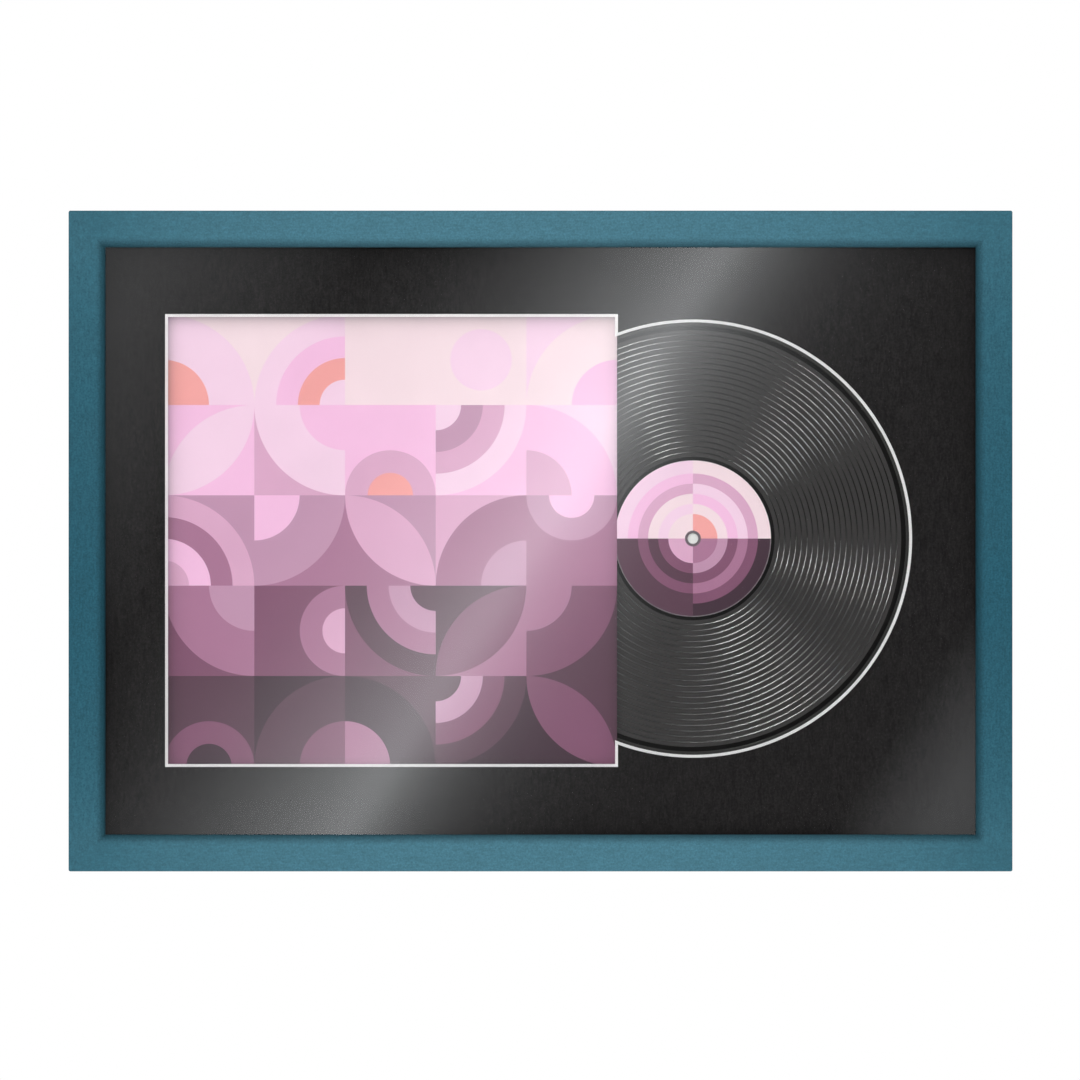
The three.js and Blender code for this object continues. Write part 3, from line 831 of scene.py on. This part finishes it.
def screw_mesh():
    """A pan-head screw with a cross recess and a thread, its head's underside at y = 0 and its point forwards."""
    core, neck, ridge_height, head_r = 0.83, 1.13, 0.37, 3.0
    pitch, length, plain, point = 1.15, 14.0, 2.2, 2.6
    steps, sides = 96, 40
    head = [(neck, 0.0), (head_r - 0.25, 0.0), (head_r, 0.22), (head_r, 0.75)]
    head += [(r, min(h, SCREW_HEAD)) for r, h in arc((1.55, 0.45), 1.45, 10, 84, 9)] + [(0.0, SCREW_HEAD)]
    shell = lathe(head, sides)
    above = list(range(sides))
    for depth in (i / steps * length for i in range(1, steps + 1)):
        taper = min(1.0, (length - depth) / point)
        points = []
        for turn in turns_of(sides):
            phase = (depth / pitch - turn / (2 * math.pi)) % 1.0
            ridge = ridge_height * max(0.0, 1 - abs(phase - 0.5) / 0.3) if depth > plain else neck - core
            radius = (core + ridge) * taper + 0.01 * (1 - taper)
            points.append((radius * math.cos(turn), -depth, radius * math.sin(turn)))
        below = shell.row(points)
        shell.bridge(above, below)
        above = below
    shell.face(above[::-1])
    made = mesh_object("screw_pattern", shell, [steel], sharp=40)
    # the cross recess: two tapered slots cut in the head
    for across in (True, False):
        cutter = Shell()
        rows = []
        for y, reach, side in ((2.3, 1.75, 0.42), (0.75, 1.25, 0.30)):
            corners = [(-reach, -side), (reach, -side), (reach, side), (-reach, side)]
            rows.append(cutter.row([(a, y, b) if across else (b, y, a) for a, b in corners]))
        cutter.face(rows[0])
        cutter.face(rows[1][::-1])
        cutter.bridge(*rows)
        cutting = mesh_object("recess_cut", cutter, [steel])
        recess = made.modifiers.new("recess", "BOOLEAN")
        recess.operation = "DIFFERENCE"
        recess.object = cutting
        graph = bpy.context.evaluated_depsgraph_get()
        graph.update()
        made.data = bpy.data.meshes.new_from_object(made.evaluated_get(graph))
        made.modifiers.clear()
        bpy.data.objects.remove(cutting)
    mesh = made.data
    clean(mesh, 2e-6)
    shade(mesh, 35)
    bpy.data.objects.remove(made)
    return mesh


def fitting(node, mesh, place, turn):
    """A piece that shows a shared mesh in the place of a CAD node."""
    piece = new_object(node + "_dressed", mesh)
    piece.location = Vector(place) * MM
    piece.rotation_euler = (0, turn, 0)
    settle(piece, node)


SCREW = screw_mesh()
for node in nodes_named("button_screw_", "hanger_screw_"):
    x, z = middle(node)
    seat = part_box(node)[1].y / MM - SCREW_HEAD
    fitting(node, SCREW, (x, seat, z), float(rng.uniform(0, math.pi / 2)))


def button_mesh():
    """A stamped turn button about its pivot, its tip towards +z, with a raised rib and rounded edges."""
    pivot_r, tip_r, reach, thick, hole, ease = 5.0, 3.4, 18.3, 1.2, 1.5, 0.32
    sides, tip_crowding = 96, 0.72
    rib_half, rib_low, rib_high, rib_slope, rib_rise = 1.7, 5.2, 18.6, 1.6, 0.3

    def edge(direction):
        """How far the outline lies from the pivot in a direction counted from +z."""
        best = pivot_r
        for t in np.linspace(0, 1, 60):
            centre, radius = reach * t, pivot_r + (tip_r - pivot_r) * t
            along = centre * math.cos(direction)
            under = radius**2 - centre**2 + along**2
            if under >= 0:
                best = max(best, along + math.sqrt(under))
        return best

    def rib(x, z):
        across = max(0.0, 1 - (abs(x) / rib_half) ** 2)
        ends = min(1.0, max(0.0, (z - rib_low) / rib_slope), max(0.0, (rib_high - z) / rib_slope))
        return rib_rise * across * across * ends

    turns = [t - tip_crowding * math.sin(t) for t in turns_of(sides)]
    radii = [edge(t) for t in turns]
    shell = Shell()

    def ring(distances, height, ribbed=False):
        spots = [(r * math.sin(t), r * math.cos(t)) for r, t in zip(distances, turns)]
        return shell.row([(x, height + (rib(x, z) if ribbed else 0.0), z) for x, z in spots])

    shares = (0.0, 0.03, 0.1, 0.22, 0.34, 0.46, 0.58, 0.7, 0.82, 0.92)
    rings = [ring([hole + (r - ease - hole) * share for r in radii], thick, True) for share in shares]
    for level, way, angles in ((thick - ease, 1, (60, 30, 0)), (ease, -1, (0, 30, 60, 90))):
        for angle in np.radians(angles):
            out, up = ease * math.cos(angle), way * ease * math.sin(angle)
            rings.append(ring([r - ease + out for r in radii], level + up))
    rings.append(ring([hole] * sides, 0.0))
    shell.loft(rings)
    return mesh_of("button_pattern", shell, [steel], 35)


BUTTON = button_mesh()
BUTTON_FOOT = RAIL_BACK + 0.3
for node in nodes_named("turn_button_"):
    _, _, side, share = node.split("_")
    x, z = middle(f"button_screw_{side}_{share}")
    fitting(node, BUTTON, (x, BUTTON_FOOT, z), TURNS[side])

EYE_Y, EYE_DOWN, WIRE_R = -3.55, 2.15, 1.1


def strap(side):
    """A steel strap folded round the ring's bar. Returns the middle of its eye in x and z."""
    node = "strap_hanger_" + side
    eye_x, eye_z = middle(node)[0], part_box(node)[1].z / MM - EYE_DOWN
    sheet, eye_r, end, half, back_y, front_y = 0.78, 1.75, -36.0, 5.0, -1.75, -0.95
    # the sheet's middle in y and z about the eye: up the back, round the eye, back in and down the front
    path = [(back_y, z) for z in np.linspace(end, -0.3, 22)] + arc((0, 0), eye_r, 180, -38, 25)
    turn_y, turn_z = path[-1]
    for share in np.linspace(0.12, 1, 9):
        ease = share * share * (3 - 2 * share)
        path.append((turn_y + (front_y - turn_y) * ease, turn_z - 4.2 * share))
    path += [(front_y, z) for z in np.linspace(path[-1][1] - 1, end, 20)]
    path = np.array(path)
    step = np.gradient(path, axis=0)
    step /= np.linalg.norm(step, axis=1)[:, None]
    off = np.stack([-step[:, 1], step[:, 0]], axis=1) * sheet / 2
    shell = Shell()
    rows = []
    for y, z in np.vstack([path + off, (path - off)[::-1]]):
        into = z - (end + half)
        width = half if into > 0 else math.sqrt(max(0.02, half**2 - into**2))
        rows.append(shell.row([(eye_x + width * c, EYE_Y + y, eye_z + z) for c in np.linspace(-1, 1, 13)]))
    shell.loft(rows, ring=False)
    for i in range(len(path) - 1):  # the two sides, between the sheet's faces
        for column in (0, -1):
            shell.face([rows[i][column], rows[i + 1][column], rows[-2 - i][column], rows[-1 - i][column]])
    made = bevel(mesh_object("strap_" + side, shell, [steel], 35), 0.14, 2, 50)
    settle(made, node)
    return eye_x, eye_z


def ring(side, eye):
    """A D of wire: the bar in the strap's eye, two corners and a round top, which leans towards the rail."""
    wide, rise, corner, sides = 7.4, 3.0, 1.5, 20
    line = [(x, 0.0) for x in np.linspace(-wide + corner, wide - corner, 12)]
    line += arc((wide - corner, corner), corner, -90, 0, 8)[1:]
    line += arc((0, rise), wide, 0, 180, 48)
    line += arc((-wide + corner, corner), corner, 180, 270, 8)[:-1]
    line = np.array(line)
    ahead = np.roll(line, -1, axis=0) - np.roll(line, 1, axis=0)
    ahead /= np.linalg.norm(ahead, axis=1)[:, None]
    lean = math.asin((EYE_Y - RAIL_BACK - WIRE_R - 0.3) / (wide + rise))
    shell = Shell()
    rows = []
    for (x, z), (ahead_x, ahead_z) in zip(line, ahead):
        points = []
        for turn in turns_of(sides):
            up, out = WIRE_R * math.cos(turn), WIRE_R * math.sin(turn)
            high = z + out * ahead_x
            y, rises = up * math.cos(lean) - high * math.sin(lean), up * math.sin(lean) + high * math.cos(lean)
            points.append((eye[0] + x - out * ahead_z, EYE_Y + y, eye[1] + rises))
        rows.append(shell.row(points))
    shell.loft(rows)
    settle(mesh_object("ring_" + side, shell, [steel], 60), "hanging_ring_" + side)


for side in ("left", "right"):
    ring(side, strap(side))

BUMPER = [(0.0, -6.0), (6.3, -6.0), (6.5, -5.8), (6.5, -3.7)]
BUMPER += [(5.0 + 1.5 * s, -0.9 - 2.6 * s) for s in (0.95, 0.7, 0.4, 0.15)]
BUMPER += [*arc((4.2, -0.8), 0.8, 0, 90, 5), (3.4, -0.04), (2.6, -0.22), (1.2, -0.34), (0.0, -0.36)]
for node in nodes_named("wall_bumper_"):
    shell = lathe(BUMPER, 64, middle(node))
    settle(mesh_object(node + "_dressed", shell, [black_rubber], 40), node)


def nail(node, side_x, side_z, share):
    """A V of sheet steel across a mitre, its arms either side of the way to the picture's middle."""
    half_thick, leg, spread, ys = 0.3, 5.0, math.radians(60), (-15.9, -5.94)
    x, z = side_x * (OUTER_W / 2 - share * BACK_W), side_z * (OUTER_H / 2 - share * BACK_W)
    inward = cmath.phase(complex(-side_x, -side_z))
    # x and z as one complex number: the V's outer tip, then each arm's end, with the inner tip between them
    tip = cmath.rect(half_thick / math.sin(spread), inward)
    one, two = (cmath.rect(1, inward + sign * spread) for sign in (1, -1))
    aside_one, aside_two = half_thick * 1j * one, -half_thick * 1j * two
    shape = [-tip, leg * one + aside_one, leg * one - aside_one, tip, leg * two - aside_two, leg * two + aside_two]
    shell = Shell()
    rows = [shell.row([(x + p.real, y, z + p.imag) for p in shape]) for y in ys]
    shell.face(rows[0])
    shell.face(rows[1][::-1])
    shell.bridge(*rows)
    settle(bevel(mesh_object(node + "_dressed", shell, [steel]), 0.08, 2), node)


for vertical, side_z in (("top", 1), ("bottom", -1)):
    for lateral, side_x in (("left", -1), ("right", 1)):
        for place, share in (("outer", 0.28), ("inner", 0.68)):
            nail(f"corner_nail_{vertical}_{lateral}_{place}", side_x, side_z, share)


# ---- floor, lamps, world and camera

CAMERA_AWAY = 12.0
AMBIENT = 0.17
SHOWN_W = 1080 / 1.4466  # the width of the frame's plane that the picture takes in, in millimetres
FLOOR_Z, FLOOR_HALF, FLOOR_FADE = -900.0, 4.5, (2.4, 4.2)
GLOSS = ("visible_glossy",)
SOFT = ("visible_diffuse", "visible_transmission", "visible_volume_scatter")


def floor_pale():
    """Matt and pale. The eye sees it lifted towards white, and far off as plain white, as metal and glass see it
    everywhere. From below it is clear."""
    g = material("floor_pale")
    place = g.place()
    matt = g.out("BsdfDiffuse", g.tone((0.93, 0.93, 0.925, 1), g.swing(g.noise(place, 400, 2), 0.006)))
    ray = g.node("LightPath").outputs
    seen = ray["Is Camera Ray"]
    mirrored = g.math("MAXIMUM", ray["Is Glossy Ray"], ray["Is Transmission Ray"])
    x, y, _ = g.split(place)
    far = g.spread(g.math("SQRT", g.add(g.times(x, x), g.times(y, y))), *FLOOR_FADE, smooth=True)
    strength = g.add(g.times(seen, g.spread(far, 0, 1, 0.18, 1)), g.times(mirrored, 0.5))
    lift = g.node("Emission", {"Strength": strength}).outputs[0]
    lit = g.node("MixShader", {0: g.math("MAXIMUM", mirrored, g.times(seen, far)), 1: matt}).outputs[0]
    below = g.node("NewGeometry").outputs["Backfacing"]
    return g.output(g.out("MixShader", below, g.out("AddShader", lit, lift), g.out("BsdfTransparent")))


def floor():
    """A wide pale floor, well below the picture."""
    steps = [float(s) / MM for s in np.linspace(-FLOOR_HALF, FLOOR_HALF, 25)]
    shell = Shell()
    shell.loft([shell.row([(x, y, FLOOR_Z) for y in steps]) for x in steps], closed=False, ring=False)
    made = mesh_object("floor", shell, [floor_pale()])
    if made.data.polygons[0].normal.z < 0:
        made.data.flip_normals()


floor()


def glare():
    """Light in a slanted band and in two faint bands at the corners."""
    way_x, way_z, axis_at = 0.840, -0.543, 12.45  # the way across the bands, and where it meets the camera's axis
    band_left, band_right, band_light = 2.0, 11.0, 0.246
    corner_bands = ((-198, -317, 0.04), (290, 346, 0.0575))  # where each begins and is full, and its light
    g = material("glare")
    x, _, z = g.split(g.place())
    # places on the glass lie half as far from the camera's axis as on the card
    across = g.add(g.times(x, 0.5 * way_x / MM), g.times(z, 0.5 * way_z / MM), axis_at * way_x)
    left = g.math("MAXIMUM", g.math("SUBTRACT", band_left, across), 0.0)
    right = g.math("MAXIMUM", g.math("SUBTRACT", across, band_right), 0.0)
    fall = g.add(g.math("DIVIDE", left, 72), g.math("POWER", g.math("DIVIDE", left, 150), 3))
    band = g.times(g.math("EXPONENT", g.times(g.add(fall, g.times(right, 0.031)), -1.0)), band_light)
    ends = g.add(*(g.times(g.spread(across, begins, full), light) for begins, full, light in corner_bands))
    ends = g.times(ends, g.spread(g.math("ABSOLUTE", across), 410, 600, 1, 0, smooth=True))
    strength = g.math("DIVIDE", g.add(band, ends), GLASS_SHINE)
    return g.output(g.out("Emission", (0.955, 0.98, 1, 1), strength))


def glare_card():
    """A card just behind the camera, seen only as a reflection."""
    y, half = -(CAMERA_AWAY + 0.03) / MM, 1.7 / MM
    shell = Shell()
    shell.face(shell.row([(-half, y, -half), (half, y, -half), (half, y, half), (-half, y, half)]))
    made = mesh_object("glare_card", shell, [glare()])
    for key in ("visible_camera", "visible_shadow", *SOFT):
        setattr(made, key, False)


glare_card()


def lamp(name, place, size, power, kinds):
    """An area lamp turned to the frame's middle, for the given kinds of ray alone."""
    data = bpy.data.lights.new(name, "AREA")
    data.shape = "RECTANGLE"
    data.size, data.size_y = size
    data.energy = power
    made = new_object(name, data)
    made.location = place
    made.rotation_euler = (-Vector(place)).to_track_quat("-Z", "Y").to_euler()
    for key in GLOSS + SOFT:
        setattr(made, key, key in kinds)
    made.visible_camera = False
    return made


KEY = (-0.5, -4.4, 1.35), (1.6, 0.8), 87
lamp("key", *KEY, SOFT)
lamp("fill_left", (-1.9, -4.5, 0.1), (0.8, 1.2), 34.5, SOFT)
lamp("fill_right", (1.9, -4.5, 0.1), (0.8, 1.2), 32.5, SOFT)
shine = lamp("key_shine", *KEY, GLOSS)
lamp("rear", (1.6, 3.0, 2.0), (2.0, 1.5), 90, GLOSS + SOFT)
lamp("rear_fill", (-2.8, 2.6, 0.6), (1.4, 1.8), 40, GLOSS + SOFT)

# The record's highlights: azimuth about its centre, width in metres and power of each strip lamp. The lamps stand
# where the grooves' wide walls mirror them to the camera.
STRIPS = (
    (-65, 0.32, 5.2), (-70, 0.88, 8.1), (-13, 0.14, 4.7), (46, 0.36, 6.0),
    (106, 0.2, 5.1), (-33, 0.28, 0.2), (-125, 0.6, 1.0),
)
STRIP_OUT, STRIP_FORWARD, STRIP_TALL = 0.87, 0.8, 0.22
disc_only = bpy.data.collections.new("seen_by_the_record")
all_but_disc = bpy.data.collections.new("all_but_the_record")
for group in (disc_only, all_but_disc):
    group.objects.link(disc)
all_but_disc.collection_objects[0].light_linking.link_state = "EXCLUDE"
shine.light_linking.receiver_collection = all_but_disc
centre = Vector((DISC[0], DISC_Y, DISC[1])) * MM
for k, (azimuth, width, power) in enumerate(STRIPS):
    turn = math.radians(azimuth)
    out = Vector((math.cos(turn), 0, math.sin(turn)))
    place = centre + STRIP_OUT * out + Vector((0, -STRIP_FORWARD, 0))
    strip = lamp(f"strip_{k}", place, (width, STRIP_TALL), power, GLOSS)
    strip.light_linking.receiver_collection = disc_only
    # the lamp faces the middle of the grooves, and its width runs round the disc
    ahead = (centre + 0.1 * out - place).normalized()
    around = Vector((0, 1, 0)).cross(out).normalized()
    strip.rotation_euler = Matrix((around, (-ahead).cross(around), -ahead)).transposed().to_euler()

scene.world = bpy.data.worlds.new("studio")
g = Graph(scene.world)
ray = g.node("LightPath").outputs
_, toward_y, toward_z = g.split(g.node("TexCoord").outputs["Generated"])
mirror = g.spread(toward_y, -0.25, 0.35, 0.06, 1.0, smooth=True)
mirror = g.math("MAXIMUM", mirror, g.spread(toward_z, 0.2, 0.9, 0.0, 0.5))
glossy = g.math("MAXIMUM", ray["Is Glossy Ray"], ray["Is Transmission Ray"])
ambient = g.math("MULTIPLY_ADD", g.math("SUBTRACT", mirror, AMBIENT), glossy, AMBIENT)
level = g.math("MAXIMUM", ambient, ray["Is Camera Ray"])
g.output(g.out("Background", (1, 1, 1, 1), level), "OutputWorld")

camera = new_object("camera", bpy.data.cameras.new("camera"))
camera.data.lens = camera.data.sensor_width * (CAMERA_AWAY / MM + RAIL_BACK - DEPTH) / SHOWN_W
camera.location = (-0.35 * MM, -CAMERA_AWAY, 0.69 * MM)
camera.rotation_euler = (math.radians(90), 0, 0)
scene.camera = camera
scene.view_settings.view_transform = "Standard"
